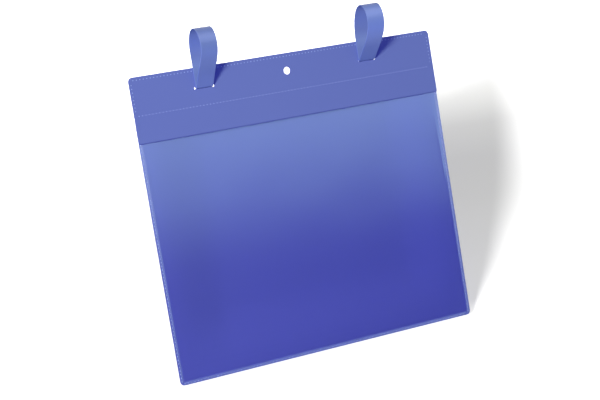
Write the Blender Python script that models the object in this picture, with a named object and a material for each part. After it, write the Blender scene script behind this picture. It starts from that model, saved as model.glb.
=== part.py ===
# Hanging document pocket: a welded plastic pocket for a landscape sheet, with a header that carries
# a hanging hole and two strap loops, and a rain flap over the pocket's mouth.
# Metres, +Z up, front facing -Y. The origin lies on the axis of the bar that both loops hang on.

import math

import bmesh
import bpy
from mathutils import Vector

# Sheets
PANEL_WIDTH = 0.311  # a landscape sheet of 297 mm, its play and two welds
PANEL_HEIGHT = 0.280
CORNER_RADIUS = 0.004
SHEET_THICKNESS = 0.0005  # back panel, header cover and rain flap
FILM_THICKNESS = 0.0003  # clear window film
SEAT_GAP = 0.0003  # between sheets that lie on each other

# Header, measured down from the panel's top edge
HOLE_DROP = 0.0163
HOLE_DIAMETER = 0.007
SLIT_DROP = 0.0185
WELD_DROP = 0.0342  # the dotted weld that closes the header
FOLD_DROP = 0.0360  # the fold that the rain flap turns about
FLAP_EDGE_DROP = 0.060
FLAP_CORNER_RADIUS = 0.0015

# Weld seams, pressed into the cover and the film
HEADER_WELD_INSET = 0.0024  # sheet's edge to the middle of the seam
HEADER_WELD_WIDTH = 0.0018
WINDOW_WELD_INSET = 0.0020
WINDOW_WELD_WIDTH = 0.0028
WELD_DEPTH = 0.00012

# Pocket: the back panel is bowed, so that the pocket stands open for its sheets
FLAP_OVERLAP = 0.010  # how far the flap hangs down over the film
POCKET_DEPTH = 0.0052  # from the film back to the bowed back panel
RIM_WIDTH = 0.005  # flat welded rim of the back panel
BOW_WIDTH = 0.060  # from the rim to the full depth, at the sides and the bottom
MOUTH_BOW_HEIGHT = 0.012  # from the header down to the full depth
MOUTH_LEAD = 0.0005  # from the fold to where the back panel falls away

# Straps
STRAP_SPACING = 0.169
STRAP_WIDTH = 0.017
STRAP_THICKNESS = 0.0005
SLIT_SIDE_GAP = 0.0004  # slit's end to the strap's edge
PUNCH_DIAMETER = 0.0026  # round punch that ends each slit
LOOP_RISE = 0.0522  # slit to the top of the loop
LEFT_LOOP_REACH = 0.0268  # header's face to the front of the loop
RIGHT_LOOP_REACH = 0.0305
LEFT_LOOP_TWIST = 0.0020  # how much further forward its left edge stands than its right one
RIGHT_LOOP_TWIST = -0.0012
FRONT_LEG_LEAN = math.radians(44)  # foot of the front leg, from upright

# Shape of the loops, as shares of their rise, their reach or the bend's span
LEFT_BACK_LEG_SHARE = 0.63  # how far up the back leg lies on the header
RIGHT_BACK_LEG_SHARE = 0.36
LEFT_CROWN_SHARE = 0.54  # how far forward the top is
RIGHT_CROWN_SHARE = 0.63
FRONT_HEIGHT_SHARE = 0.71  # how high up the loop is fullest
FOOT_SHARE = 0.24  # straight foot of the front leg
FOOT_HANDLE_SHARE = 0.385  # pull of the foot, and of the full front, on the bend between them
FRONT_HANDLE_SHARE = 0.33
ROUND_HANDLE_SHARE = 0.5523  # pull that makes a curve's quarter round

# Strap ends behind the header
TAIL_START_DEPTH = 0.00035  # cover's face to the strap end inside the slit
TAIL_BEND_RADIUS = 0.0007
NECK_LENGTH = 0.0032  # straight strap before the arrow head
SHOULDER_LENGTH = 0.0005
HEAD_SIDE_LENGTH = 0.0025
HEAD_TIP_LENGTH = 0.0050
HEAD_CATCH = 0.0012  # how far the head stands past each end of the slit
HEAD_TIP_WIDTH = 0.009

# Bar that the loops are made for
BAR_DIAMETER = 0.008

# Making
CUT_OVERRUN = 0.004
CORNER_STEPS = 6
ROUND_STEPS = 24
BOW_STEPS = 10
CROWN_STEPS = 10
BEND_STEPS = 12
TAIL_BEND_STEPS = 4

# Places that follow from the sizes, in the panel's own frame:
# z = 0 at the top edge, y = 0 at the front face of the back panel's header, forward is -y
COVER_BACK = -SEAT_GAP
COVER_FRONT = COVER_BACK - SHEET_THICKNESS
FILM_FRONT = COVER_BACK + SEAT_GAP
FILM_BACK = FILM_FRONT + FILM_THICKNESS
RIM_RECESS = FILM_BACK + SEAT_GAP
BOW_RECESS = FILM_BACK + POCKET_DEPTH
FILM_TOP_DROP = FLAP_EDGE_DROP - FLAP_OVERLAP
MOUTH_TOP = -(FOLD_DROP + MOUTH_LEAD)
POCKET_FLOOR = -PANEL_HEIGHT + RIM_WIDTH
POCKET_SIDE = PANEL_WIDTH / 2 - RIM_WIDTH
SLIT_HEIGHT = 2 * STRAP_THICKNESS + 3 * SEAT_GAP
SLIT_LENGTH = STRAP_WIDTH + 2 * SLIT_SIDE_GAP
HEAD_WIDTH = SLIT_LENGTH + PUNCH_DIAMETER + 2 * HEAD_CATCH
LAYER_OFFSET = (STRAP_THICKNESS + SEAT_GAP) / 2  # strap layer's middle from the slit's middle
LEG_FORWARD = SEAT_GAP + STRAP_THICKNESS / 2  # back leg's middle from the header's face
LEFT_CROWN_FORWARD = LEFT_LOOP_REACH * LEFT_CROWN_SHARE
RIGHT_CROWN_FORWARD = RIGHT_LOOP_REACH * RIGHT_CROWN_SHARE
BAR_FORWARD = (LEFT_CROWN_FORWARD + RIGHT_CROWN_FORWARD) / 2  # header's face to the bar's axis
BAR_RISE = LOOP_RISE - STRAP_THICKNESS - BAR_DIAMETER / 2  # slit to the bar's axis

HEADER_BLUE = (0.133, 0.170, 0.502, 1.0)
PANEL_BLUE = (0.060, 0.072, 0.410, 1.0)
FILM_TINT = (0.62, 0.68, 0.90, 0.35)
STRAP_BLUE = (0.140, 0.185, 0.515, 1.0)


def clear_scene():
    for obj in list(bpy.data.objects):
        bpy.data.objects.remove(obj)


def plastic(name, colour, roughness):
    """A moulded or rolled plastic."""
    material = bpy.data.materials.new(name)
    material.use_nodes = True
    shader = material.node_tree.nodes["Principled BSDF"]
    shader.inputs["Base Color"].default_value = colour
    shader.inputs["Alpha"].default_value = colour[3]
    shader.inputs["Roughness"].default_value = roughness
    shader.inputs["Metallic"].default_value = 0.0
    return material


def add_object(name, mesh_data, parent, material=None, location=(0, 0, 0)):
    """Turns a bmesh into an object of its own under a parent."""
    bmesh.ops.recalc_face_normals(mesh_data, faces=mesh_data.faces)
    mesh = bpy.data.meshes.new(name)
    mesh_data.to_mesh(mesh)
    mesh_data.free()
    obj = bpy.data.objects.new(name, mesh)
    bpy.context.scene.collection.objects.link(obj)
    obj.parent = parent
    obj.location = location
    if material is not None:
        mesh.materials.append(material)
    return obj


def as_cutter(obj):
    """A helper that only cuts: it is no part of the pocket."""
    obj.hide_render = True
    obj.display_type = "WIRE"
    return obj


def cut(obj, cutter, operation="DIFFERENCE"):
    boolean = obj.modifiers.new(cutter.name, "BOOLEAN")
    boolean.operation = operation
    boolean.solver = "EXACT"
    boolean.object = cutter


def rounded_outline(width, top, bottom, top_radius, bottom_radius):
    """Points (x, z) round a rectangle that is centred on x = 0, with its corners rounded."""
    points = []
    corners = (
        (1, top, -1, top_radius, 0),
        (-1, top, -1, top_radius, 90),
        (-1, bottom, 1, bottom_radius, 180),
        (1, bottom, 1, bottom_radius, 270),
    )
    for side, z, inward, radius, start in corners:
        centre_x = side * (width / 2 - radius)
        centre_z = z + inward * radius
        steps = CORNER_STEPS if radius > 0 else 0
        for step in range(steps + 1):
            angle = math.radians(start + 90 * step / CORNER_STEPS)
            points.append((centre_x + radius * math.cos(angle), centre_z + radius * math.sin(angle)))
    return points


def plate(outline, front, thickness):
    """A flat sheet: the outline in x and z, thickened backwards from its front face."""
    mesh_data = bmesh.new()
    face = mesh_data.faces.new([mesh_data.verts.new((x, front, z)) for x, z in outline])
    grown = bmesh.ops.extrude_face_region(mesh_data, geom=[face])
    moved = [item for item in grown["geom"] if isinstance(item, bmesh.types.BMVert)]
    bmesh.ops.translate(mesh_data, verts=moved, vec=Vector((0, thickness, 0)))
    return mesh_data


def hole_outline():
    """Points (x, z) round the hanging hole."""
    points = []
    for step in range(ROUND_STEPS):
        angle = 2 * math.pi * step / ROUND_STEPS
        points.append((HOLE_DIAMETER / 2 * math.cos(angle), HOLE_DIAMETER / 2 * math.sin(angle)))
    return points


def slit_outline():
    """Points (x, z) round a strap's slit, which ends in two round punches."""
    radius = PUNCH_DIAMETER / 2
    turn = math.pi - math.asin(min(SLIT_HEIGHT / PUNCH_DIAMETER, 1))
    points = []
    for side in (1, -1):
        for step in range(ROUND_STEPS + 1):
            angle = turn * (2 * step / ROUND_STEPS - 1)
            along = SLIT_LENGTH / 2 + radius * math.cos(angle)
            points.append((side * along, side * radius * math.sin(angle)))
    return points


def seam_cutter(name, parent, front, top, bottom, inset, seam_width):
    """A closed channel that presses a weld seam into a sheet's front face."""
    half = seam_width / 2
    middle_width = PANEL_WIDTH - 2 * inset
    radius = max(CORNER_RADIUS - inset - half, 0)
    outer_radius = radius + seam_width
    outer = rounded_outline(
        middle_width + seam_width, top + half, bottom - half, outer_radius, outer_radius
    )
    inner = rounded_outline(middle_width - seam_width, top - half, bottom + half, radius, radius)
    mesh_data = bmesh.new()
    rings = []
    for depth in (front - CUT_OVERRUN, front + WELD_DEPTH):
        for outline in (outer, inner):
            verts = [mesh_data.verts.new((x, depth, z)) for x, z in outline]
            edges = [mesh_data.edges.new((verts[i - 1], verts[i])) for i in range(len(verts))]
            rings.append(edges)
    front_outer, front_inner, back_outer, back_inner = rings
    for first, second in (
        (front_outer, front_inner),
        (back_outer, back_inner),
        (front_outer, back_outer),
        (front_inner, back_inner),
    ):
        bmesh.ops.bridge_loops(mesh_data, edges=first + second)
    return as_cutter(add_object(name, mesh_data, parent))


def smooth_share(share):
    """0 to 1 with a level start and a level end."""
    share = min(max(share, 0), 1)
    return share * share * (3 - 2 * share)


def bow_stations(start, end):
    return [start + (end - start) * step / BOW_STEPS for step in range(BOW_STEPS + 1)]


def back_panel_depth(x, z):
    """How far the back panel's front face lies behind the header, at a place on the panel."""
    below_mouth = smooth_share((MOUTH_TOP - z) / MOUTH_BOW_HEIGHT)
    above_floor = smooth_share((z - POCKET_FLOOR) / BOW_WIDTH)
    inside = smooth_share((POCKET_SIDE - abs(x)) / BOW_WIDTH)
    return below_mouth * (RIM_RECESS + (BOW_RECESS - RIM_RECESS) * above_floor * inside)


def make_back_panel(parent, material):
    """One sheet behind everything: a flat header, then a shallow bow inside a flat welded rim."""
    right = bow_stations(POCKET_SIDE - BOW_WIDTH, POCKET_SIDE) + [PANEL_WIDTH / 2 + CUT_OVERRUN]
    columns = [-x for x in reversed(right)] + right
    rows = [-PANEL_HEIGHT - CUT_OVERRUN]
    rows += bow_stations(POCKET_FLOOR, POCKET_FLOOR + BOW_WIDTH)
    rows += bow_stations(MOUTH_TOP - MOUTH_BOW_HEIGHT, MOUTH_TOP)
    rows += [CUT_OVERRUN]
    mesh_data = bmesh.new()
    grid = [[mesh_data.verts.new((x, back_panel_depth(x, z), z)) for x in columns] for z in rows]
    for low, high in zip(grid, grid[1:]):
        for i in range(len(columns) - 1):
            mesh_data.faces.new((low[i], low[i + 1], high[i + 1], high[i]))
    grown = bmesh.ops.extrude_face_region(mesh_data, geom=mesh_data.faces[:])
    moved = [item for item in grown["geom"] if isinstance(item, bmesh.types.BMVert)]
    bmesh.ops.translate(mesh_data, verts=moved, vec=Vector((0, SHEET_THICKNESS, 0)))
    panel = add_object("back_panel", mesh_data, parent, material)

    outline = rounded_outline(PANEL_WIDTH, 0, -PANEL_HEIGHT, CORNER_RADIUS, CORNER_RADIUS)
    stamp = plate(outline, COVER_FRONT - CUT_OVERRUN, BOW_RECESS + SHEET_THICKNESS + 2 * CUT_OVERRUN)
    cut(panel, as_cutter(add_object("panel_outline_stamp", stamp, parent)), "INTERSECT")
    return panel


def make_header_cover(parent, material):
    """The strip welded over the header, down to the fold of the rain flap."""
    bottom = -(FOLD_DROP - SHEET_THICKNESS / 2 - SEAT_GAP)
    outline = rounded_outline(PANEL_WIDTH, 0, bottom, CORNER_RADIUS, 0)
    cover = add_object("header_cover", plate(outline, COVER_FRONT, SHEET_THICKNESS), parent, material)
    seam_top = -HEADER_WELD_INSET
    seam = seam_cutter(
        "header_seam", parent, COVER_FRONT, seam_top, -WELD_DROP, HEADER_WELD_INSET, HEADER_WELD_WIDTH
    )
    cut(cover, seam)
    return cover


def make_rain_flap(parent, material):
    """The free part of the strip: it hangs from the fold over the pocket's mouth."""
    radius = SHEET_THICKNESS / 2
    length = FLAP_EDGE_DROP - FOLD_DROP
    half_steps = ROUND_STEPS // 2
    profile = [(-radius, -length)]
    for step in range(half_steps + 1):
        angle = math.radians(180 - 180 * step / half_steps)
        profile.append((radius * math.cos(angle), radius * math.sin(angle)))
    profile.append((radius, -length))
    mesh_data = bmesh.new()
    face = mesh_data.faces.new([mesh_data.verts.new((-PANEL_WIDTH / 2, y, z)) for y, z in profile])
    grown = bmesh.ops.extrude_face_region(mesh_data, geom=[face])
    moved = [item for item in grown["geom"] if isinstance(item, bmesh.types.BMVert)]
    bmesh.ops.translate(mesh_data, verts=moved, vec=Vector((PANEL_WIDTH, 0, 0)))
    lower_corners = [
        edge
        for edge in mesh_data.edges
        if abs(edge.verts[0].co.y - edge.verts[1].co.y) > radius and edge.verts[0].co.z < -length / 2
    ]
    bmesh.ops.bevel(
        mesh_data,
        geom=lower_corners,
        offset=FLAP_CORNER_RADIUS,
        segments=CORNER_STEPS,
        profile=0.5,
        affect="EDGES",
    )
    fold = (0, COVER_BACK - radius, -FOLD_DROP)
    return add_object("rain_flap", mesh_data, parent, material, fold)


def make_window_film(parent, material):
    """The clear sheet, welded to the back panel at both sides and the bottom, open at its top."""
    outline = rounded_outline(PANEL_WIDTH, -FILM_TOP_DROP, -PANEL_HEIGHT, 0, CORNER_RADIUS)
    film = add_object("window_film", plate(outline, FILM_FRONT, FILM_THICKNESS), parent, material)
    above_film = -FILM_TOP_DROP + CUT_OVERRUN
    seam_bottom = -PANEL_HEIGHT + WINDOW_WELD_INSET
    seam = seam_cutter(
        "window_seam", parent, FILM_FRONT, above_film, seam_bottom, WINDOW_WELD_INSET, WINDOW_WELD_WIDTH
    )
    cut(film, seam)
    return film


def punch_header(parent, sheets):
    """The hanging hole, and a slit for each strap."""
    front = COVER_FRONT - CUT_OVERRUN
    depth = SHEET_THICKNESS + CUT_OVERRUN - front
    for name, outline, x, drop in (
        ("hanging_hole_punch", hole_outline(), 0, HOLE_DROP),
        ("left_slit_punch", slit_outline(), -STRAP_SPACING / 2, SLIT_DROP),
        ("right_slit_punch", slit_outline(), STRAP_SPACING / 2, SLIT_DROP),
    ):
        punch = as_cutter(add_object(name, plate(outline, front, depth), parent, location=(x, 0, -drop)))
        for sheet in sheets:
            cut(sheet, punch)


def bend(start, start_pull, end_pull, end, steps):
    """Points of a smooth curve after its start, pulled along its direction at each end."""
    points = []
    for step in range(1, steps + 1):
        t = step / steps
        rest = 1 - t
        points.append(
            rest ** 3 * start
            + 3 * rest ** 2 * t * (start + start_pull)
            + 3 * rest * t ** 2 * (end + end_pull)
            + t ** 3 * end
        )
    return points


def loop_line(reach, crown_forward, back_leg_share):
    """Middle line of a loop, as (forward, up) from the slit: up the back leg, over, down the front leg."""
    top_height = LOOP_RISE - STRAP_THICKNESS / 2
    back_foot = Vector((LEG_FORWARD, LAYER_OFFSET + SEAT_GAP / 2))
    back_top = Vector((LEG_FORWARD, LOOP_RISE * back_leg_share))
    crown = Vector((crown_forward, top_height))
    front = Vector((reach - STRAP_THICKNESS / 2, LOOP_RISE * FRONT_HEIGHT_SHARE))
    front_foot = Vector((LEG_FORWARD, -LAYER_OFFSET))
    lean = Vector((math.sin(FRONT_LEG_LEAN), math.cos(FRONT_LEG_LEAN)))
    foot_top = front_foot + LOOP_RISE * FOOT_SHARE * lean

    ahead = Vector((ROUND_HANDLE_SHARE, 0))
    up = Vector((0, ROUND_HANDLE_SHARE))
    points = [back_foot, back_top]
    points += bend(
        back_top, (crown.y - back_top.y) * up, (back_top.x - crown.x) * ahead, crown, CROWN_STEPS
    )
    points += bend(crown, (front.x - crown.x) * ahead, (crown.y - front.y) * up, front, CROWN_STEPS)
    span = (front - foot_top).length
    front_pull = Vector((0, -span * FRONT_HANDLE_SHARE))
    points += bend(front, front_pull, span * FOOT_HANDLE_SHARE * lean, foot_top, BEND_STEPS)
    return points + [front_foot]


def band(line, half_widths, spread_share=0):
    """A strap bent along a line of (forward, up) points, with its half width at each point.
    spread_share moves the left edge forward and the right edge back by that share of the way."""
    mesh_data = bmesh.new()
    half_thickness = STRAP_THICKNESS / 2
    sections = []
    for i, point in enumerate(line):
        before = line[max(i - 1, 0)]
        after = line[min(i + 1, len(line) - 1)]
        along_in = (point - before).normalized() if i else (after - point).normalized()
        along_out = (after - point).normalized() if i + 1 < len(line) else along_in
        along = (along_in + along_out).normalized()
        across = Vector((-along.y, along.x)) * half_thickness / along.dot(along_out)
        corners = []
        for side, face in ((-1, -1), (1, -1), (1, 1), (-1, 1)):
            forward = point.x * (1 - side * spread_share) + face * across.x
            up = point.y + face * across.y
            corners.append(mesh_data.verts.new((side * half_widths[i], -forward, up)))
        sections.append(corners)
    for first, second in zip(sections, sections[1:]):
        for i in range(4):
            mesh_data.faces.new((first[i - 1], first[i], second[i], second[i - 1]))
    mesh_data.faces.new(sections[0])
    mesh_data.faces.new(sections[-1])
    return mesh_data


def tail_shape(turn):
    """A strap end, from inside the slit to its arrow head flat behind the header.
    turn is 1 for the upper end and -1 for the lower one."""
    behind = (SHEET_THICKNESS - COVER_FRONT) + SEAT_GAP + STRAP_THICKNESS / 2
    level = turn * LAYER_OFFSET
    line = [Vector((-TAIL_START_DEPTH, level))]
    for step in range(TAIL_BEND_STEPS + 1):
        angle = math.radians(90 * step / TAIL_BEND_STEPS)
        back = behind - TAIL_BEND_RADIUS * (1 - math.sin(angle))
        line.append(Vector((-back, level + turn * TAIL_BEND_RADIUS * (1 - math.cos(angle)))))
    neck = STRAP_WIDTH / 2
    half_widths = [neck] * len(line)
    bend_end = line[-1].y
    distance = 0
    for length, half_width in (
        (NECK_LENGTH, neck),
        (SHOULDER_LENGTH, HEAD_WIDTH / 2),
        (HEAD_SIDE_LENGTH, HEAD_WIDTH / 2),
        (HEAD_TIP_LENGTH, HEAD_TIP_WIDTH / 2),
    ):
        distance += length
        line.append(Vector((-behind, bend_end + turn * distance)))
        half_widths.append(half_width)
    return band(line, half_widths)


def make_strap(name, side, line, twist, reach, parent, material):
    """One strap: the loop in front of the header and its two ends, which lock behind it."""
    mouth = (side * STRAP_SPACING / 2, COVER_FRONT, -SLIT_DROP)
    loop = band(line, [STRAP_WIDTH / 2] * len(line), twist / (2 * reach))
    add_object(name + "_hanging_loop", loop, parent, material, mouth)
    add_object(name + "_strap_end_upper", tail_shape(1), parent, material, mouth)
    add_object(name + "_strap_end_lower", tail_shape(-1), parent, material, mouth)


def finish_shading():
    """Round walls shade smooth and real edges stay sharp."""
    for obj in bpy.data.objects:
        if obj.type == "MESH":
            obj.data.shade_smooth()
            obj.data.set_sharp_from_angle(angle=math.radians(30))


def main():
    clear_scene()
    frame = bpy.data.objects.new("pocket_frame", None)
    bpy.context.scene.collection.objects.link(frame)
    frame.location = (0, BAR_FORWARD - COVER_FRONT, SLIT_DROP - BAR_RISE)

    header = plastic("header_plastic", HEADER_BLUE, 0.45)
    panel = plastic("panel_plastic", PANEL_BLUE, 0.30)
    film = plastic("window_film", FILM_TINT, 0.08)
    strap = plastic("strap_plastic", STRAP_BLUE, 0.32)

    back_panel = make_back_panel(frame, panel)
    header_cover = make_header_cover(frame, header)
    make_rain_flap(frame, header)
    make_window_film(frame, film)
    punch_header(frame, (back_panel, header_cover))
    left_line = loop_line(LEFT_LOOP_REACH, LEFT_CROWN_FORWARD, LEFT_BACK_LEG_SHARE)
    right_line = loop_line(RIGHT_LOOP_REACH, RIGHT_CROWN_FORWARD, RIGHT_BACK_LEG_SHARE)
    make_strap("left", -1, left_line, LEFT_LOOP_TWIST, LEFT_LOOP_REACH, frame, strap)
    make_strap("right", 1, right_line, RIGHT_LOOP_TWIST, RIGHT_LOOP_REACH, frame, strap)
    finish_shading()


main()
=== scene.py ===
import math

import bmesh
import bpy
from mathutils import Matrix, Vector


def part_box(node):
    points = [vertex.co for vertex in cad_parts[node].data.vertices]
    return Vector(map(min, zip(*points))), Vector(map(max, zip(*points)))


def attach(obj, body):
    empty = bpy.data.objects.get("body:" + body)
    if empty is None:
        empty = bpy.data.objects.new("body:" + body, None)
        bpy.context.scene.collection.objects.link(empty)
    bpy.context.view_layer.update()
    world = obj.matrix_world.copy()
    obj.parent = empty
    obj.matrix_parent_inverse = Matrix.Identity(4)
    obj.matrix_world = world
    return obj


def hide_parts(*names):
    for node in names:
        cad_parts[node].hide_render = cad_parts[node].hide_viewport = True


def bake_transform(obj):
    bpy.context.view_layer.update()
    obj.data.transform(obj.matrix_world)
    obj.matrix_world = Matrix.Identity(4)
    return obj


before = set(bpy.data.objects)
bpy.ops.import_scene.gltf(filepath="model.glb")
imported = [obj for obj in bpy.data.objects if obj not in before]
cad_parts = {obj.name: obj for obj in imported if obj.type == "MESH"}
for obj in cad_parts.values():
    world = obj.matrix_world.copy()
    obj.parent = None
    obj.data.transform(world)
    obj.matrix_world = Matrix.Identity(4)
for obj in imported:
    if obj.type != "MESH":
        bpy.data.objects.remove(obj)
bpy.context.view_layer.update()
bpy.context.scene.view_settings.view_transform = "Standard"
closeBy = 0.00001  # places no further apart than this count as the same
smoothAngle = 22  # degrees: flatter edges are shaded smooth


def only(*pieces):
    # nothing else stays selected, and the last piece is active
    bpy.ops.object.select_all(action="DESELECT")
    for piece in pieces:
        piece.select_set(True)
    bpy.context.view_layer.objects.active = pieces[-1]


def pick(piece, kind, test):
    # in edit mode: selects the vertices, edges or faces whose middle passes the test
    bpy.ops.mesh.select_mode(type=kind)
    bpy.ops.mesh.select_all(action="DESELECT")
    mesh = bmesh.from_edit_mesh(piece.data)
    for item in {"VERT": mesh.verts, "EDGE": mesh.edges, "FACE": mesh.faces}[kind]:
        corners = [item] if kind == "VERT" else item.verts
        item.select_set(test(sum((corner.co for corner in corners), Vector()) / len(corners)))
    mesh.select_flush_mode()
    bmesh.update_edit_mesh(piece.data)


def applyModifier(piece, kind, **settings):
    only(piece)
    modifier = piece.modifiers.new(kind.lower(), kind)
    for name, value in settings.items():
        setattr(modifier, name, value)
    bpy.ops.object.modifier_apply(modifier=modifier.name)


def finishPiece(piece, body, material=None):
    # place and turn go into the mesh, then the piece gets its finish and its CAD body
    only(piece)
    bpy.ops.object.transform_apply(location=True, rotation=True, scale=True)
    bpy.ops.object.shade_smooth_by_angle(angle=math.radians(smoothAngle))
    if material:
        piece.data.materials.append(material)
    if body:
        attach(piece, body)


def hexColour(text):
    # sRGB hex to the linear colour that the shaders take, by the sRGB standard's own curve
    channels = [int(text[i:i + 2], 16) / 255 for i in (0, 2, 4)]
    return [c / 12.92 if c <= 0.04045 else ((c + 0.055) / 1.055) ** 2.4 for c in channels] + [1.0]


def addNode(tree, kind, settings=None, values=None, links=None):
    # values and links go by the input's name or number
    node = tree.nodes.new(kind)
    for name, value in (settings or {}).items():
        setattr(node, name, value)
    for name, value in (values or {}).items():
        node.inputs[name].default_value = value
    for name, source in (links or {}).items():
        tree.links.new(source, node.inputs[name])
    return node


def newMaterial(name):
    material = bpy.data.materials.new(name)
    material.use_nodes = True
    material.node_tree.nodes.clear()
    return material, material.node_tree


def letLightPass(tree, seen, colour):
    # lamps shine through in this colour, while the camera sees the plastic as it is
    lamps = addNode(tree, "ShaderNodeLightPath").outputs["Is Shadow Ray"]
    passed = addNode(tree, "ShaderNodeBsdfTransparent", values={"Color": hexColour(colour)})
    shader = addNode(
        tree, "ShaderNodeMixShader", links={0: lamps, 1: seen.outputs[0], 2: passed.outputs[0]}
    )
    addNode(tree, "ShaderNodeOutputMaterial", links={"Surface": shader.outputs[0]})


plasticIor = 1.49  # polypropylene
roughnessSpread = 0.04  # how far the grain takes the roughness up and down


def sheetPlastic(name, look):
    # calendered polypropylene sheet with a fine embossed grain that spreads the light: its two
    # colours mix in faint clouds, or, where a span is given, drift from right to left as painted
    # light, paler on the lamp's side
    material, tree = newMaterial(name)
    place = addNode(tree, "ShaderNodeTexCoord").outputs["Object"]
    if "span" in look:
        sides = addNode(tree, "ShaderNodeSeparateXYZ", links={"Vector": place})
        tones = addNode(
            tree,
            "ShaderNodeMapRange",
            values={"From Min": look["span"], "From Max": -look["span"]},
            links={"Value": sides.outputs[0]},
        )
    else:
        tones = addNode(
            tree,
            "ShaderNodeTexNoise",
            values={"Scale": 1 / look["cloudSize"], "Detail": 2.0},
            links={"Vector": place},
        )
    colour = addNode(
        tree,
        "ShaderNodeMix",
        {"data_type": "RGBA"},
        {6: hexColour(look["colour"]), 7: hexColour(look["cloudAndLitSideColour"])},
        {0: tones.outputs[0]},
    )
    grain = addNode(
        tree,
        "ShaderNodeTexNoise",
        values={"Scale": 1 / look["grainSize"], "Detail": 3.0},
        links={"Vector": place},
    )
    roughness = addNode(
        tree,
        "ShaderNodeMapRange",
        values={
            "To Min": look["roughness"] - roughnessSpread, "To Max": look["roughness"] + roughnessSpread,
        },
        links={"Value": grain.outputs[0]},
    )
    bump = addNode(
        tree,
        "ShaderNodeBump",
        values={"Strength": look["grainStrength"], "Distance": look["grainDepth"]},
        links={"Height": grain.outputs[0]},
    )
    shader = addNode(
        tree,
        "ShaderNodeBsdfPrincipled",
        values={"IOR": plasticIor, "Specular IOR Level": look.get("shine", 0.5)},
        links={
            "Base Color": colour.outputs[2],
            "Roughness": roughness.outputs[0],
            "Normal": bump.outputs[0],
        },
    )
    if "passes" in look:
        letLightPass(tree, shader, look["passes"])
    else:
        addNode(tree, "ShaderNodeOutputMaterial", links={"Surface": shader.outputs[0]})
    return material


# colours in sRGB hex, lengths in metres; the real grain is near 0.3 mm, drawn coarser to show
headerLook = {
    "colour": "5F6DB6", "cloudAndLitSideColour": "6270B8", "cloudSize": 0.09,
    "grainSize": 0.0011, "grainDepth": 0.00006, "grainStrength": 0.6,
    "roughness": 0.52, "shine": 0.25, "passes": "0A0AE0",
}
panelLook = {
    # the second colour is the left side's: painted light, paler towards the lamp
    "colour": "494EB6", "cloudAndLitSideColour": "4F53BA", "span": 0.155,
    "grainSize": 0.0014, "grainDepth": 0.00003, "grainStrength": 0.25,
    "roughness": 0.42, "shine": 0.38,
}
studGlintLook = {
    "colour": "9CACE6", "cloudAndLitSideColour": "8094DA", "cloudSize": 0.006,
    "grainSize": 0.0009, "grainDepth": 0.00006, "grainStrength": 0.5,
    "roughness": 0.32,
}
# header strip and rain flap: matte blue, hazy where the light rakes over it
headerPlastic = sheetPlastic("embossedHeaderPolypropylene", headerLook)
# painted shade: a deeper blue band along the flap's cut edge stands in for the thin shadow under the
# flap
flapEdgeShadePlastic = sheetPlastic(
    "flapEdgePaintedShadePolypropylene", {**headerLook, "colour": "45509E", "cloudAndLitSideColour": "4954A2"}
)
# back sheet: the same plastic, smoother, so that its colour stays deep; painted light makes it a touch
# paler on the left, nearer the lamp
panelPlastic = sheetPlastic("smoothBackPolypropylene", panelLook)
# studs of the seams: painted highlight, a pale colour that stands in for the glints on the studs
weldStudGlintPlastic = sheetPlastic("weldStudPaintedGlintPolypropylene", studGlintLook)
# on the back sheet the studs' painted glints stand out less
backStudGlintPlastic = sheetPlastic(
    "backStudPaintedGlintPolypropylene", {**studGlintLook, "colour": "7480D0", "cloudAndLitSideColour": "6872C8"}
)


def drawnStrapPlastic(name, look):
    # extruded polypropylene tape: satin, with faint die lines along its length; its tone changes
    # with height as painted light and shade, to follow how the lamp reaches each part of the loop
    material, tree = newMaterial(name)
    place = addNode(tree, "ShaderNodeTexCoord").outputs["Object"]
    height = addNode(tree, "ShaderNodeSeparateXYZ", links={"Vector": place})
    low, high = look["tones"][0][0], look["tones"][-1][0]
    share = addNode(
        tree,
        "ShaderNodeMapRange",
        values={"From Min": low, "From Max": high},
        links={"Value": height.outputs[2]},
    )
    tone = addNode(tree, "ShaderNodeValToRGB", links={"Fac": share.outputs[0]})
    stops = tone.color_ramp.elements
    while len(stops) < len(look["tones"]):
        stops.new(0.5)
    for stop, (level, colour) in zip(stops, look["tones"]):
        stop.position = (level - low) / (high - low)
        stop.color = hexColour(colour)
    along = addNode(
        tree,
        "ShaderNodeMapping",
        values={"Scale": (1 / look["lineWidth"], 1 / look["lineLength"], 1 / look["lineLength"])},
        links={"Vector": place},
    )
    lines = addNode(
        tree,
        "ShaderNodeTexNoise",
        values={"Scale": 1.0, "Detail": 2.0},
        links={"Vector": along.outputs[0]},
    )
    bump = addNode(
        tree,
        "ShaderNodeBump",
        values={"Strength": look["lineStrength"], "Distance": look["lineDepth"]},
        links={"Height": lines.outputs[0]},
    )
    tape = addNode(
        tree,
        "ShaderNodeBsdfPrincipled",
        values={"IOR": plasticIor, "Roughness": look["roughness"]},
        links={"Base Color": tone.outputs[0], "Normal": bump.outputs[0]},
    )
    letLightPass(tree, tape, look["passes"])  # the thin tape's shadow is blue
    return material


# the tones by height are painted light and shade: the lower legs darker, the middle lighter, the crown
# less blue
tapeLook = {
    "tones": (  # height and colour
        (-0.046, "6377CB"), (-0.036, "6377CB"), (-0.028, "6C81D3"),
        (-0.020, "6C81D3"), (-0.010, "697EC1"), (0.004, "697EC1"),
    ),
    "lineWidth": 0.0012, "lineLength": 0.25, "lineDepth": 0.00003, "lineStrength": 0.3,
    "roughness": 0.34, "passes": "0606D0",
}
shadedInnerTapeLook = {
    **tapeLook,
    "tones": (
        (-0.046, "697BB8"), (-0.036, "697BB8"), (-0.028, "7083BE"),
        (-0.019, "6576B7"), (-0.008, "6376C0"), (0.004, "6376C0"),
    ),
    "roughness": 0.40,
}
strapPlastic = drawnStrapPlastic("drawnStrapPolypropylene", tapeLook)
# the tape's inner side: rougher, and with painted shade, less blue and darker from the middle up, under
# the crown
shadedInnerStrapPlastic = drawnStrapPlastic("innerPaintedShadeStrapPolypropylene", shadedInnerTapeLook)


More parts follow.
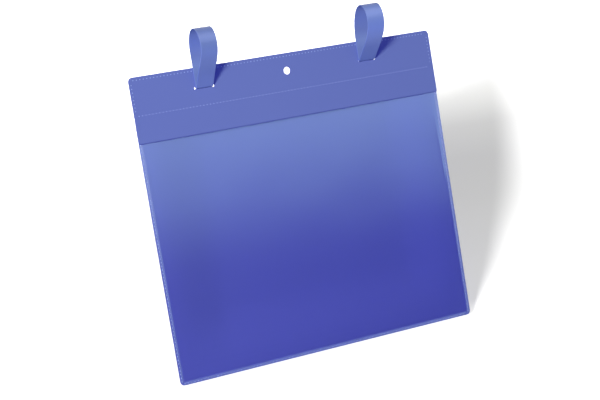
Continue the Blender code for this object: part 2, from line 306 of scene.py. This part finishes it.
def clearFilm(name, look):
    # cast polypropylene film: clear and glossy, with a soft mirror of the studio on what lies behind
    material, tree = newMaterial(name)
    place = addNode(tree, "ShaderNodeTexCoord").outputs["Object"]
    waves = addNode(
        tree,
        "ShaderNodeTexNoise",
        values={"Scale": 1 / look["waveSize"], "Detail": 1.0},
        links={"Vector": place},
    )
    bump = addNode(
        tree,
        "ShaderNodeBump",
        values={"Strength": look["waveStrength"], "Distance": look["waveDepth"]},
        links={"Height": waves.outputs[0]},
    )
    mirror = addNode(
        tree,
        "ShaderNodeBsdfGlossy",
        values={"Color": hexColour(look["mirrorColour"]), "Roughness": look["roughness"]},
        links={"Normal": bump.outputs[0]},
    )
    through = addNode(tree, "ShaderNodeBsdfTransparent", values={"Color": hexColour(look["tint"])})
    cloudy = addNode(tree, "ShaderNodeBsdfDiffuse", values={"Color": hexColour(look["cloud"])})
    through = addNode(
        tree,
        "ShaderNodeMixShader",
        values={0: look["cloudShare"]},
        links={1: through.outputs[0], 2: cloudy.outputs[0]},
    )
    fresnel = addNode(tree, "ShaderNodeFresnel", values={"IOR": look["ior"]})
    # light is mirrored where it enters the film, and not where it leaves it
    inside = addNode(tree, "ShaderNodeNewGeometry").outputs["Backfacing"]
    outside = addNode(tree, "ShaderNodeMath", {"operation": "SUBTRACT"}, {0: 1.0}, {1: inside})
    share = addNode(
        tree,
        "ShaderNodeMath",
        {"operation": "MULTIPLY"},
        links={0: fresnel.outputs[0], 1: outside.outputs[0]},
    )
    sight = addNode(
        tree,
        "ShaderNodeMixShader",
        links={0: share.outputs[0], 1: through.outputs[0], 2: mirror.outputs[0]},
    )
    letLightPass(tree, sight, "FFFFFF")
    return material


filmPlastic = clearFilm("clearWindowPolypropylene", {
    "tint": "FCFCFE", "cloud": "9BA5C8", "cloudShare": 0.0, "mirrorColour": "C6F0F8",
    "ior": 2.7,  # stands for both faces of the film and the glossy sheet behind it
    "roughness": 0.08, "waveSize": 0.11, "waveDepth": 0.0003, "waveStrength": 1.0,
})
# weld band of the window: the hot tool leaves the film cloudy, so it pales the blue under it
weldedFilm = clearFilm("cloudyWeldedPolypropylene", {
    "tint": "FCFCFE", "cloud": "8FA6F0", "cloudShare": 0.20, "mirrorColour": "D6F0FF",
    "ior": 3.2, "roughness": 0.16, "waveSize": 0.006, "waveDepth": 0.00004, "waveStrength": 1.0,
})
print("materials made")


coverLow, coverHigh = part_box("header_cover")
flapLow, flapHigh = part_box("rain_flap")
filmLow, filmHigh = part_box("window_film")
halfWidth = coverHigh.x
panelTop = coverHigh.z


def makePlane(name, width, top, bottom, front, topRadius, bottomRadius):
    # an upright face that looks forward, with its corners rounded
    bpy.ops.object.select_all(action="DESELECT")
    bpy.ops.mesh.primitive_plane_add(
        size=1, location=(0, front, (top + bottom) / 2), rotation=(math.radians(90), 0, 0)
    )
    piece = bpy.context.object
    piece.name = name
    piece.scale = (width, top - bottom, 1)
    bpy.ops.object.transform_apply(location=True, rotation=True, scale=True)
    bpy.ops.object.mode_set(mode="EDIT")
    for radius, end in ((topRadius, top), (bottomRadius, bottom)):
        if radius:
            pick(piece, "VERT", lambda place: abs(place.z - end) < closeBy)
            bpy.ops.mesh.bevel(offset=radius, segments=8, affect="VERTICES")
    bpy.ops.object.mode_set(mode="OBJECT")
    return piece


def makeSheet(name, width, top, bottom, front, thickness, topRadius, bottomRadius):
    piece = makePlane(name, width, top, bottom, front, topRadius, bottomRadius)
    applyModifier(piece, "SOLIDIFY", thickness=thickness, offset=-1)
    return piece


def cutAway(piece, cutter):
    applyModifier(piece, "BOOLEAN", object=cutter, operation="DIFFERENCE", solver="EXACT")
    bpy.data.objects.remove(cutter)


def pressSeam(sheet, top, bottom, inset, seamWidth, front, depth, cornerRadius):
    # the weld tool leaves a shallow channel all the way round
    outer = inset - seamWidth / 2
    width = 2 * (halfWidth - outer)
    corner = cornerRadius - outer
    overrun = 0.001  # how far the tool stands out in front of the sheet
    tool = makePlane(
        "seamTool", width, top + seamWidth / 2, bottom - seamWidth / 2, front - overrun, corner, corner
    )
    bpy.ops.object.mode_set(mode="EDIT")
    bpy.ops.mesh.select_all(action="SELECT")
    bpy.ops.mesh.inset(thickness=seamWidth)
    bpy.ops.mesh.delete(type="FACE")
    bpy.ops.object.mode_set(mode="OBJECT")
    applyModifier(tool, "SOLIDIFY", thickness=overrun + depth, offset=-1)
    cutAway(sheet, tool)


header = {
    "cornerRadius": 0.004, "flapCornerRadius": 0.0015,
    "holeWidth": 0.007, "holeDrop": 0.0163,
    "slitDrop": 0.0185, "slitHeight": 0.0019,
    "slits": ((0.0178, 0.0026), (0.0172, 0.0012)),  # length and end hole; the right strap hides its own
    "strapSpacing": 0.169, "toolLength": 0.01,
    "seamInset": 0.0024, "seamWidth": 0.0018, "seamDrop": 0.0342, "seamDepth": 0.00004,
    "foldDrop": 0.0360, "foldHalf": 0.0008, "foldRows": 8, "edgeShadeHeight": 0.0009,
}


def punchTool(width, x, drop):
    bpy.ops.object.select_all(action="DESELECT")
    bpy.ops.mesh.primitive_cylinder_add(
        vertices=40, radius=width / 2, depth=header["toolLength"],
        location=(x, coverLow.y, panelTop - drop), rotation=(math.radians(90), 0, 0),
    )
    return bpy.context.object


def slitTool(x, length, punchWidth):
    # a straight knife with a round punch at each end
    bpy.ops.object.select_all(action="DESELECT")
    bpy.ops.mesh.primitive_cube_add(size=1, location=(x, coverLow.y, panelTop - header["slitDrop"]))
    knife = bpy.context.object
    knife.scale = (length, header["toolLength"], header["slitHeight"])
    bpy.ops.object.transform_apply(location=True, rotation=True, scale=True)
    for side in (-1, 1):
        punch = punchTool(punchWidth, x + side * length / 2, header["slitDrop"])
        applyModifier(knife, "BOOLEAN", object=punch, operation="UNION", solver="EXACT")
        bpy.data.objects.remove(punch)
    return knife


headerSheet = makeSheet(
    "header_sheet", 2 * halfWidth, panelTop, flapLow.z, coverLow.y, coverHigh.y - coverLow.y,
    header["cornerRadius"], header["flapCornerRadius"],
)
pressSeam(
    headerSheet, panelTop - header["seamInset"], panelTop - header["seamDrop"],
    header["seamInset"], header["seamWidth"], coverLow.y, header["seamDepth"], header["cornerRadius"],
)
cutAway(headerSheet, punchTool(header["holeWidth"], 0, header["holeDrop"]))
for side, (length, punchWidth) in zip((-1, 1), header["slits"]):
    cutAway(headerSheet, slitTool(side * header["strapSpacing"] / 2, length, punchWidth))
# rows of edges across the fold, so that it bends round
foldZ = panelTop - header["foldDrop"]
only(headerSheet)
bpy.ops.object.mode_set(mode="EDIT")
for row in range(header["foldRows"] + 1):
    height = foldZ + header["foldHalf"] * (1 - 2 * row / header["foldRows"])
    bpy.ops.mesh.select_all(action="SELECT")
    bpy.ops.mesh.bisect(plane_co=(0, 0, height), plane_no=(0, 0, 1))
# and one row that parts off the band of painted shade along the flap's lower edge
bpy.ops.mesh.select_all(action="SELECT")
bpy.ops.mesh.bisect(plane_co=(0, 0, flapLow.z + header["edgeShadeHeight"]), plane_no=(0, 0, 1))
bpy.ops.object.mode_set(mode="OBJECT")
headerSheet.data.materials.append(headerPlastic)
headerSheet.data.materials.append(flapEdgeShadePlastic)
# faces in that band take the painted shade
for face in headerSheet.data.polygons:
    face.material_index = int(face.center.z < flapLow.z + header["edgeShadeHeight"])
finishPiece(headerSheet, None)
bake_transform(headerSheet)
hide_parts("header_cover", "rain_flap")
print("header sheet made")

window = {
    "cornerRadius": 0.004, "seamInset": 0.0020, "seamWidth": 0.0028, "seamDepth": 0.00012,
    "seamOverrun": 0.01,  # the channel runs out at the film's open top
    "gridWidth": 0.012, "gridStep": 0.0006, "gridHeight": 0.105, "rowStep": 0.0035, "squash": 0.07,
    "pickShare": 0.51,  # of a step each way, so that one vertex is picked
    "ridges": (  # inset from the edge, drop below the flap, height, half width: wide above, narrow below
        (0.0074, 0.010, 0.00020, 0.0040),
        (0.0064, 0.036, 0.00018, 0.0032),
        (0.0056, 0.064, 0.00011, 0.0026),
    ),
}
windowFilm = makeSheet(
    "window_sheet", 2 * halfWidth, filmHigh.z, filmLow.z, filmLow.y, filmHigh.y - filmLow.y,
    0, window["cornerRadius"],
)
pressSeam(
    windowFilm, filmHigh.z + window["seamOverrun"], filmLow.z + window["seamInset"],
    window["seamInset"], window["seamWidth"], filmLow.y, window["seamDepth"], window["cornerRadius"],
)
windowFilm.data.materials.append(filmPlastic)
windowFilm.data.materials.append(weldedFilm)
# the channel's floor is cloudy
windowFloor = filmLow.y + window["seamDepth"]
for face in windowFilm.data.polygons:
    face.material_index = int(face.normal.y < -0.9 and abs(face.center.y - windowFloor) < closeBy)
# the film stands up in a ridge beside the weld, where the mouth's corner pulls it
only(windowFilm)
bpy.ops.object.mode_set(mode="EDIT")
seamSide = halfWidth - window["seamInset"] - window["seamWidth"] / 2
for column in range(round(window["gridWidth"] / window["gridStep"])):
    bpy.ops.mesh.select_all(action="SELECT")
    bpy.ops.mesh.bisect(plane_co=(seamSide - column * window["gridStep"], 0, 0), plane_no=(1, 0, 0))
for row in range(round(window["gridHeight"] / window["rowStep"])):
    bpy.ops.mesh.select_all(action="SELECT")
    bpy.ops.mesh.bisect(plane_co=(0, 0, flapLow.z - row * window["rowStep"]), plane_no=(0, 0, 1))
# squashed in height while it is pulled, so that each ridge comes out long and slim
for inset, drop, height, halfRidge in window["ridges"]:
    ridgeZ = flapLow.z - drop
    for squash in (window["squash"], 1 / window["squash"]):
        bpy.ops.mesh.select_all(action="SELECT")
        bpy.ops.transform.resize(value=(1, 1, squash), center_override=(0, 0, ridgeZ))
        if squash < 1:
            across = window["pickShare"] * window["gridStep"]
            upright = window["pickShare"] * window["rowStep"] * squash
            pick(windowFilm, "VERT", lambda place: abs(place.x - halfWidth + inset) < across
                 and abs(place.z - ridgeZ) < upright)
            bpy.ops.transform.translate(
                value=(0, -height, 0), use_proportional_edit=True,
                proportional_edit_falloff="SMOOTH", proportional_size=halfRidge,
            )
bpy.ops.object.mode_set(mode="OBJECT")
finishPiece(windowFilm, "pocket")
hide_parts("window_film")
print("window film made")

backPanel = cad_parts["back_panel"]
for materialSlot in backPanel.material_slots:
    materialSlot.material = panelPlastic

weld = {
    "pitch": 0.00332, "rowGap": 0.0010, "dotWidth": 0.0016,
    "windowDotWidth": 0.0014, "windowSecond": 0.6,  # the window's second row has smaller studs
    "dotHeight": 0.00014, "dotFoot": 0.00006, "backFoot": 0.00002,  # a foot sinks into its sheet
    "sideStart": 0.004, "sideTrim": 0.006, "lineStart": 0.002, "lineTrim": 0.004,  # keep off the corners
    "headerBack": 0.0181435, "windowBack": 0.0187435,  # back faces of the back sheet
}


def dotLine(place, along, length, across, width, second, facing):
    # a stud, and with "second" a smaller one half a pitch on, repeated along the seam
    along, across = Vector(along), Vector(across)
    pair = []
    sizes = [(1, Vector())]
    if second:
        sizes.append((second, across * weld["rowGap"] + along * weld["pitch"] / 2))
    for size, shift in sizes:
        bpy.ops.object.select_all(action="DESELECT")
        bpy.ops.mesh.primitive_cone_add(
            vertices=6, radius1=size * width / 2, radius2=size * width / 4, depth=weld["dotHeight"],
            location=Vector(place) + shift, rotation=(math.radians(90 * facing), 0, 0),
        )
        pair.append(bpy.context.object)
    if second:
        only(*pair)
        bpy.ops.object.join()
    dots = bpy.context.object
    bpy.ops.object.transform_apply(location=True, rotation=True, scale=True)
    applyModifier(
        dots, "ARRAY", use_relative_offset=False, use_constant_offset=True,
        constant_offset_displace=along * weld["pitch"], count=int(length / weld["pitch"]),
    )
    return dots


def dotFrame(
    name, top, bottom, sideInset, bottomInset, topInset, depth, width, second, facing, slot, material
):
    # the seam's two sides and its bottom line, and a top line where it has one
    right, up = (1, 0, 0), (0, 0, 1)
    gap = weld["rowGap"] / 2
    side = halfWidth - sideInset
    low, sideLength = bottom + weld["sideStart"], top - bottom - weld["sideTrim"]
    start, lineLength = -side + weld["lineStart"], 2 * side - weld["lineTrim"]
    rows = [
        ((-side - gap, depth, low), up, sideLength, right),
        ((side - gap, depth, low), up, sideLength, right),
        ((start, depth, bottom + bottomInset - gap), right, lineLength, up),
    ]
    if topInset:
        rows.append(((start, depth, top - topInset - gap), right, lineLength, up))
    lines = [dotLine(*row, width, second, facing) for row in rows]
    only(*lines)
    bpy.ops.object.join()
    dots = bpy.context.object
    dots.name = name
    finishPiece(dots, "pocket", material)


headerSeam = (panelTop, panelTop - header["seamDrop"], header["seamInset"], 0, header["seamInset"])
windowSeam = (filmHigh.z, filmLow.z, window["seamInset"], window["seamInset"], 0)
headerDots = (weld["dotWidth"], 0)
windowDots = (weld["windowDotWidth"], weld["windowSecond"])
dotFrame(
    "header_weld_dots", *headerSeam, coverLow.y + weld["dotFoot"], *headerDots, 1,
    "header_plastic", weldStudGlintPlastic,
)
dotFrame(
    "window_weld_dots", *windowSeam, filmLow.y + weld["dotFoot"], *windowDots, 1,
    "window_film", weldStudGlintPlastic,
)
# the same seams from behind, pressed through the header and through the pocket's flat rim
dotFrame(
    "header_back_dots", *headerSeam, weld["headerBack"] - weld["backFoot"], *headerDots, -1,
    "panel_plastic", backStudGlintPlastic,
)
dotFrame(
    "window_back_dots", *windowSeam, weld["windowBack"] - weld["backFoot"], *windowDots, -1,
    "panel_plastic", backStudGlintPlastic,
)
print("weld dots made")

straps = {
    "width": 0.017, "thickness": 0.0005,
    "legForward": 0.00055, "layerOffset": 0.0004,
    "frontHeightShare": 0.71, "footShare": 0.24, "footPull": 0.385, "frontPull": 0.33,
    "roundPull": 0.5523,  # makes a quarter of a circle
    "inSlit": 0.0001, "legStart": 0.0010, "heel": 0.0006,  # where the tape turns, near the slit
    "neckPull": 0.001, "slitPull": 0.0002, "turnPull": 0.00036, "risePull": 0.00033,
    "legPull": 0.004, "footLinePull": 0.003, "heelPull": 0.0004,
    "tailDepth": 0.00185, "tailBend": 0.0007, "neck": 0.0032,
    "shoulder": 0.0005, "headSide": 0.0025, "headTip": 0.0050, "headWidth": 0.0228, "tipWidth": 0.009,
    "edgeRound": 0.00012, "edgeAngle": 50, "middleShare": 0.55,
    "left": {
        "rise": 0.0526, "reach": 0.0267, "twist": 0.0020, "frontLean": 38,
        "backLegShare": 0.63, "crownShare": 0.54,
        "slide": 0.0,
    },
    "right": {
        "rise": 0.0511, "reach": 0.0302, "twist": -0.0012, "frontLean": 49,
        "backLegShare": 0.36, "crownShare": 0.63,
        "slide": -0.0004,  # to one side in its slit
    },
}


def strapPoints(bend):
    # (place, pull before, pull after) as (forward, up) from the slit, tail to tail
    half = straps["thickness"] / 2
    leg, layer, behind = straps["legForward"], straps["layerOffset"], straps["tailDepth"]
    tail, rise, quarter = straps["tailBend"], bend["rise"], straps["roundPull"]
    leanAngle = math.radians(bend["frontLean"])
    lean = Vector((math.sin(leanAngle), math.cos(leanAngle)))
    neckPull, slitPull = straps["neckPull"], straps["slitPull"]
    footPull, heelPull = straps["footLinePull"], straps["heelPull"]
    back = Vector((leg, rise * bend["backLegShare"]))
    crown = Vector((bend["reach"] * bend["crownShare"], rise - half))
    front = Vector((bend["reach"] - half, rise * straps["frontHeightShare"]))
    foot = Vector((leg, -layer)) + rise * straps["footShare"] * lean
    span = (front - foot).length
    heel = Vector((leg, -layer)) + straps["heel"] * lean
    points = [
        (Vector((-behind, layer + tail + straps["neck"])), (0, neckPull), (0, -neckPull)),
        (Vector((-behind, layer + tail)), (0, neckPull), (0, -tail * quarter)),
        (Vector((-behind + tail, layer)), (-tail * quarter, 0), (slitPull, 0)),
        (Vector((-straps["inSlit"], layer)), (-slitPull, 0), (straps["turnPull"], 0)),
        (Vector((leg, straps["legStart"])), (0, -straps["risePull"]), (0, straps["legPull"])),
        (back, (0, -straps["legPull"]), (0, (crown.y - back.y) * quarter)),
        (crown, ((back.x - crown.x) * quarter, 0), ((front.x - crown.x) * quarter, 0)),
        (front, (0, (crown.y - front.y) * quarter), (0, -span * straps["frontPull"])),
        (foot, span * straps["footPull"] * lean, -footPull * lean),
        (heel, footPull * lean, -heelPull * lean),
        (Vector((-slitPull, -layer)), (heelPull, 0), (-slitPull, 0)),
        (Vector((-behind + tail, -layer)), (slitPull, 0), (-tail * quarter, 0)),
        (Vector((-behind, -layer - tail)), (0, tail * quarter), (0, -neckPull)),
        (Vector((-behind, -layer - tail - straps["neck"])), (0, neckPull), (0, -neckPull)),
    ]
    return [(place, place + Vector(before), place + Vector(after)) for place, before, after in points]


def makeStrap(name, side):
    # one tape from tail to tail, drawn as a curve and given its width, heads and thickness
    bend = straps[name]
    middle = side * header["strapSpacing"] / 2 + bend["slide"]
    slitZ = panelTop - header["slitDrop"]
    bpy.ops.object.select_all(action="DESELECT")
    # drawn flat: its x goes forward and its y up
    bpy.ops.curve.primitive_bezier_curve_add(
        location=(middle, coverLow.y, slitZ), rotation=(math.radians(90), 0, math.radians(-90))
    )
    strap = bpy.context.object
    strap.data.dimensions = "2D"
    strap.data.fill_mode = "NONE"
    strap.data.resolution_u = 14
    strap.data.extrude = straps["width"] / 2
    line = strap.data.splines[0]
    points = strapPoints(bend)
    line.bezier_points.add(len(points) - len(line.bezier_points))
    for knot, (place, before, after) in zip(line.bezier_points, points):
        knot.handle_left_type = knot.handle_right_type = "FREE"
        knot.co, knot.handle_left, knot.handle_right = place.to_3d(), before.to_3d(), after.to_3d()
    only(strap)
    bpy.ops.object.convert(target="MESH")
    strap = bpy.context.object
    strap.name = name + "_strap"
    bpy.ops.object.transform_apply(location=True, rotation=True, scale=True)

    bpy.ops.object.mode_set(mode="EDIT")
    bpy.ops.mesh.select_all(action="SELECT")
    bpy.ops.mesh.remove_doubles(threshold=closeBy)
    # the loop stands a little twisted: one edge further forward than the other
    for edge in (-1, 1):
        pick(strap, "VERT", lambda place: place.y < coverLow.y and (place.x - middle) * edge > 0)
        spread = 1 - edge * bend["twist"] / (2 * bend["reach"])
        bpy.ops.transform.resize(value=(1, spread, 1), center_override=(middle, coverLow.y, slitZ))
    # arrow heads, drawn out from both ends
    neckEnd = straps["layerOffset"] + straps["tailBend"] + straps["neck"]
    for turn in (1, -1):
        end = slitZ + turn * neckEnd
        pick(strap, "EDGE", lambda place: abs(place.z - end) < closeBy and place.y > coverHigh.y)
        grown = straps["width"]
        for length, width in (
            (straps["shoulder"], straps["headWidth"]),
            (straps["headSide"], straps["headWidth"]),
            (straps["headTip"], straps["tipWidth"]),
        ):
            bpy.ops.mesh.extrude_region_move(TRANSFORM_OT_translate={"value": (0, 0, turn * length)})
            bpy.ops.transform.resize(
                value=(width / grown, 1, 1), center_override=(middle, coverLow.y, end)
            )
            grown = width
    bpy.ops.object.mode_set(mode="OBJECT")

    applyModifier(strap, "SOLIDIFY", thickness=straps["thickness"], offset=0, use_even_offset=True)
    applyModifier(
        strap, "BEVEL", width=straps["edgeRound"], segments=2,
        limit_method="ANGLE", angle_limit=math.radians(straps["edgeAngle"]),
    )
    bpy.ops.object.mode_set(mode="EDIT")
    bpy.ops.mesh.select_all(action="SELECT")
    bpy.ops.mesh.normals_make_consistent(inside=False)
    bpy.ops.object.mode_set(mode="OBJECT")
    strap.data.materials.append(strapPlastic)
    strap.data.materials.append(shadedInnerStrapPlastic)
    # faces inside the loop take the copy with painted shade
    inside = Vector(
        (middle, coverLow.y - bend["reach"] / 2, slitZ + bend["rise"] * straps["middleShare"])
    )
    for face in strap.data.polygons:
        inner = face.normal.dot(inside - face.center) > 0 and abs(face.normal.x) < 0.5
        face.material_index = int(inner and face.center.y < coverLow.y)
    finishPiece(strap, None)
    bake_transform(strap)
    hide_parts(name + "_hanging_loop", name + "_strap_end_upper", name + "_strap_end_lower")


makeStrap("left", -1)
makeStrap("right", 1)
print("straps made")

cove = {
    "corner": (0.1555, 0.0236), "turn": 40,  # it starts at the panel's right corner and faces the light
    "profile": (  # distance behind the corner and height: level, then a rise, then a wall
        (0.005, -0.3112), (0.012, -0.3085), (0.024, -0.3005), (0.060, -0.2869), (0.099, -0.2732),
        (0.132, -0.2574), (0.164, -0.2406), (0.198, -0.2238), (0.227, -0.2062), (0.248, -0.1885),
        (0.262, -0.1690), (0.277, -0.1400), (0.290, -0.1150), (0.295, 0.20), (0.295, 0.90),
    ),
    "floor": -0.3112, "front": 2.6, "halfLength": 1.9,
    "paper": "F4F4F4",
    # painted light: how much it glows at each height; the level floor takes least lamp light and glows
    # most, and the glow grows upwards so that the shadow fades
    "glow": (
        (-0.3112, 0.70), (-0.3000, 0.40), (-0.2550, 0.36), (-0.2150, 0.32),
        (-0.1750, 0.325), (-0.1400, 0.40), (-0.1000, 0.70), (-0.0600, 0.94),
    ),
    "glowColour": "FFFFF8",  # evens out the blue that the pocket throws on it
}


def hangPaper():
    # matt white backdrop paper; a glow that only the camera sees paints light on it, tops it up to white
    # and lifts its shadow
    material, tree = newMaterial("matteBackdropPaper")
    seen = addNode(tree, "ShaderNodeLightPath").outputs["Is Camera Ray"]
    place = addNode(tree, "ShaderNodeNewGeometry").outputs["Position"]
    height = addNode(tree, "ShaderNodeSeparateXYZ", links={0: place}).outputs["Z"]
    low, high = cove["glow"][0][0], cove["glow"][-1][0]
    share = addNode(
        tree, "ShaderNodeMapRange", values={"From Min": low, "From Max": high}, links={"Value": height}
    )
    topUp = addNode(tree, "ShaderNodeValToRGB", links={0: share.outputs[0]})
    for z, glow in cove["glow"][1:-1]:
        topUp.color_ramp.elements.new((z - low) / (high - low)).color = (glow, glow, glow, 1)
    for end in (0, -1):
        topUp.color_ramp.elements[end].color = (*[cove["glow"][end][1]] * 3, 1)
    glowLevel = addNode(
        tree, "ShaderNodeMath", {"operation": "MULTIPLY"}, links={0: seen, 1: topUp.outputs[0]}
    )
    paper = addNode(tree, "ShaderNodeBsdfDiffuse", values={"Color": hexColour(cove["paper"])})
    glow = addNode(
        tree,
        "ShaderNodeEmission",
        values={"Color": hexColour(cove["glowColour"])},
        links={"Strength": glowLevel.outputs[0]},
    )
    front = addNode(tree, "ShaderNodeAddShader", links={0: paper.outputs[0], 1: glow.outputs[0]})
    # from behind it is open, so that the pocket's back can be looked at
    hollow = addNode(tree, "ShaderNodeBsdfTransparent")
    behind = addNode(tree, "ShaderNodeNewGeometry").outputs["Backfacing"]
    shader = addNode(
        tree, "ShaderNodeMixShader", links={0: behind, 1: front.outputs[0], 2: hollow.outputs[0]}
    )
    addNode(tree, "ShaderNodeOutputMaterial", links={"Surface": shader.outputs[0]})
    return material


# the roll of paper is drawn out row by row from its front part
bpy.ops.object.select_all(action="DESELECT")
bpy.ops.mesh.primitive_plane_add(size=1, location=(0, -cove["front"] / 2, cove["floor"]))
floor = bpy.context.object
floor.name = "backdrop_cove"
floor.scale = (2 * cove["halfLength"], cove["front"], 1)
bpy.ops.object.transform_apply(location=True, rotation=True, scale=True)
bpy.ops.object.mode_set(mode="EDIT")
pick(floor, "EDGE", lambda place: place.y > -closeBy)
behind, height = 0, cove["floor"]
for nextBehind, nextHeight in cove["profile"]:
    bpy.ops.mesh.extrude_region_move(
        TRANSFORM_OT_translate={"value": (0, nextBehind - behind, nextHeight - height)}
    )
    behind, height = nextBehind, nextHeight
bpy.ops.object.mode_set(mode="OBJECT")
floor.rotation_euler.z = math.radians(-cove["turn"])
floor.location = (*cove["corner"], 0)
bpy.ops.object.transform_apply(location=True, rotation=True, scale=True)
applyModifier(floor, "SUBSURF", levels=2, render_levels=2)
bpy.ops.object.shade_smooth()
floor.data.materials.append(hangPaper())
floor.visible_glossy = False
floor.visible_diffuse = False
floor.visible_shadow = False

studio = {
    "keyPlace": (-3.26, -2.95, 0.454), "keyPower": 241, "keyWidth": 1.0,  # a broad lamp on the left
    "leftLevel": 0.33, "rightLevel": 0.03, "sideSpan": 0.6,  # pale screens stand on the lamp's side
    "wallStart": 0.25, "wallFull": 1.0, "wallLevel": 1.3,
    "dimLow": -0.1390, "dimHigh": -0.0225,  # a card in front, seen in the film, fades downwards
    "screenLow": 0.61, "screenHigh": 0.72,  # a screen far round to the right
    "hazeStart": 0.36, "hazeEnd": 0.62, "hazeLevel": 0.07,  # dim light on the left, gone on the right
    "floorLow": -0.35, "floorHigh": -0.60, "floorLevel": 0.25,
    "boxFacing": (0.43, -0.68, 0.59), "boxOuter": 32, "boxInner": 12, "boxLevel": 2.6,
}
bpy.ops.object.light_add(type="AREA", location=studio["keyPlace"])
key = bpy.context.object
key.name = "keyLight"
key.rotation_euler = (-Vector(studio["keyPlace"])).to_track_quat("-Z", "Y").to_euler()
key.data.shape = "DISK"
key.data.size = studio["keyWidth"]
key.data.energy = studio["keyPower"]

world = bpy.data.worlds.new("studio")
bpy.context.scene.world = world
world.use_nodes = True
tree = world.node_tree
tree.nodes.clear()
path = addNode(tree, "ShaderNodeLightPath")
direction = addNode(tree, "ShaderNodeTexCoord").outputs["Generated"]
sides = addNode(tree, "ShaderNodeSeparateXYZ", links={0: direction})
# what gloss mirrors: a card in front that fades downwards, the table, a screen and haze at the
# sides, and a soft box above
distance = addNode(tree, "ShaderNodeMath", {"operation": "ABSOLUTE"}, links={0: sides.outputs["Y"]})
links = {0: sides.outputs["Z"], 1: distance.outputs[0]}
lift = addNode(tree, "ShaderNodeMath", {"operation": "DIVIDE"}, links=links)
card = addNode(
    tree,
    "ShaderNodeMapRange",
    {"interpolation_type": "SMOOTHSTEP"},
    {"From Min": studio["dimLow"], "From Max": studio["dimHigh"]},
    {"Value": lift.outputs[0]},
)
table = addNode(
    tree,
    "ShaderNodeMapRange",
    {"interpolation_type": "SMOOTHSTEP"},
    {"From Min": studio["floorLow"], "From Max": studio["floorHigh"], "To Max": studio["floorLevel"]},
    {"Value": sides.outputs["Z"]},
)
links = {0: sides.outputs["X"], 1: distance.outputs[0]}
turned = addNode(tree, "ShaderNodeMath", {"operation": "DIVIDE"}, links=links)
screen = addNode(
    tree,
    "ShaderNodeMapRange",
    {"interpolation_type": "SMOOTHSTEP"},
    {"From Min": studio["screenLow"], "From Max": studio["screenHigh"]},
    {"Value": turned.outputs[0]},
)
haze = addNode(
    tree,
    "ShaderNodeMapRange",
    values={
        "From Min": studio["hazeStart"], "From Max": studio["hazeEnd"],
        "To Min": studio["hazeLevel"], "To Max": 0,
    },
    links={"Value": turned.outputs[0]},
)
boxFacing = addNode(
    tree,
    "ShaderNodeVectorMath",
    {"operation": "DOT_PRODUCT"},
    {1: Vector(studio["boxFacing"]).normalized()},
    {0: direction},
)
box = addNode(
    tree,
    "ShaderNodeMapRange",
    {"interpolation_type": "SMOOTHSTEP"},
    {
        "From Min": math.cos(math.radians(studio["boxOuter"])),
        "From Max": math.cos(math.radians(studio["boxInner"])),
        "To Max": studio["boxLevel"],
    },
    {"Value": boxFacing.outputs["Value"]},
)
paleParts = card
for part in (table, screen, haze):
    links = {0: paleParts.outputs[0], 1: part.outputs[0]}
    paleParts = addNode(tree, "ShaderNodeMath", {"operation": "MAXIMUM"}, links=links)
mirrored = addNode(
    tree, "ShaderNodeMath", {"operation": "ADD"}, links={0: paleParts.outputs[0], 1: box.outputs[0]}
)
# what lights matte plastic: screens, brighter on the left
screens = addNode(
    tree,
    "ShaderNodeMapRange",
    values={
        "From Min": -studio["sideSpan"], "From Max": studio["sideSpan"],
        "To Min": studio["leftLevel"], "To Max": studio["rightLevel"],
    },
    links={"Value": sides.outputs["X"]},
)
# a pale wall behind lights the pocket's back
wall = addNode(
    tree,
    "ShaderNodeMapRange",
    {"interpolation_type": "SMOOTHSTEP"},
    {"From Min": studio["wallStart"], "From Max": studio["wallFull"], "To Max": studio["wallLevel"]},
    {"Value": sides.outputs["Y"]},
)
screens = addNode(
    tree, "ShaderNodeMath", {"operation": "ADD"}, links={0: screens.outputs[0], 1: wall.outputs[0]}
)
lightLevel = addNode(
    tree,
    "ShaderNodeMix",
    links={0: path.outputs["Is Glossy Ray"], 2: screens.outputs[0], 3: mirrored.outputs[0]},
)
# the camera itself sees plain white
level = addNode(
    tree,
    "ShaderNodeMix",
    values={3: 1.0},
    links={0: path.outputs["Is Camera Ray"], 2: lightLevel.outputs[0]},
)
background = addNode(
    tree, "ShaderNodeBackground", values={"Color": (1, 1, 1, 1)}, links={"Strength": level.outputs[0]}
)
addNode(tree, "ShaderNodeOutputWorld", links={"Surface": background.outputs[0]})

view = {
    "place": (-0.6625, -1.3419, -0.0421),
    "right": (0.8837, -0.4391, -0.1621), "up": (0.1952, 0.0311, 0.9803),
    "forward": (0.4254, 0.8979, -0.1132),
    "lens": 97.62, "sensor": 36, "shiftX": 0.0024, "shiftY": 0.088,
}
bpy.ops.object.camera_add(location=view["place"])
camera = bpy.context.object
turn = Matrix((view["right"], view["up"], -Vector(view["forward"]))).transposed()
camera.matrix_world = Matrix.Translation(view["place"]) @ turn.to_4x4()
camera.data.lens = view["lens"]
camera.data.sensor_width = view["sensor"]
camera.data.shift_x, camera.data.shift_y = view["shiftX"], view["shiftY"]
camera.data.clip_start = 0.01
bpy.context.scene.camera = camera
print("stage made")
